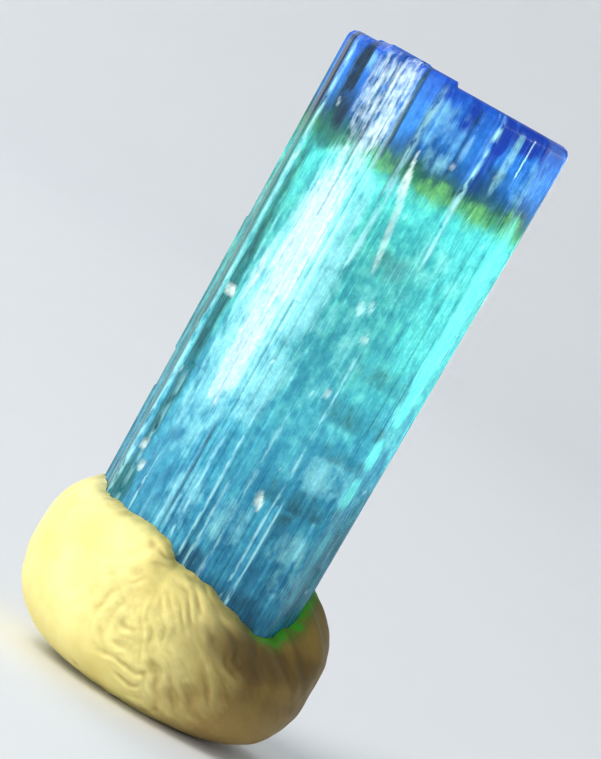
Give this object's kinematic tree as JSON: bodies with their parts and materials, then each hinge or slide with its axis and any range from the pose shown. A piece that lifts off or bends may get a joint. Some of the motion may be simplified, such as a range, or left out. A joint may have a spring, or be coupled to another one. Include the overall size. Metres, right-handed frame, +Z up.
{
  "type": "tourmaline crystal",
  "caption": "Upright striated tourmaline prism with a flat stepped end, blue over teal, held in a flattened lump of yellow mounting putty.",
  "frame": {"origin": "on the surface that the putty rests on, under the middle of the lump", "axes": "+Z up along the crystal; -Y is the side that the picture shows, with the low dip of the putty towards +X"},
  "size_m": [0.0128, 0.0118, 0.0279],
  "materials": {
    "tourmaline": "clear to milky, striated, vitreous",
    "putty": "soft, waxy, thumb-marked"
  },
  "bodies": {
    "root": {"tourmaline_crystal": "tourmaline", "mounting_putty": "putty"}
  },
  "joints": []
}
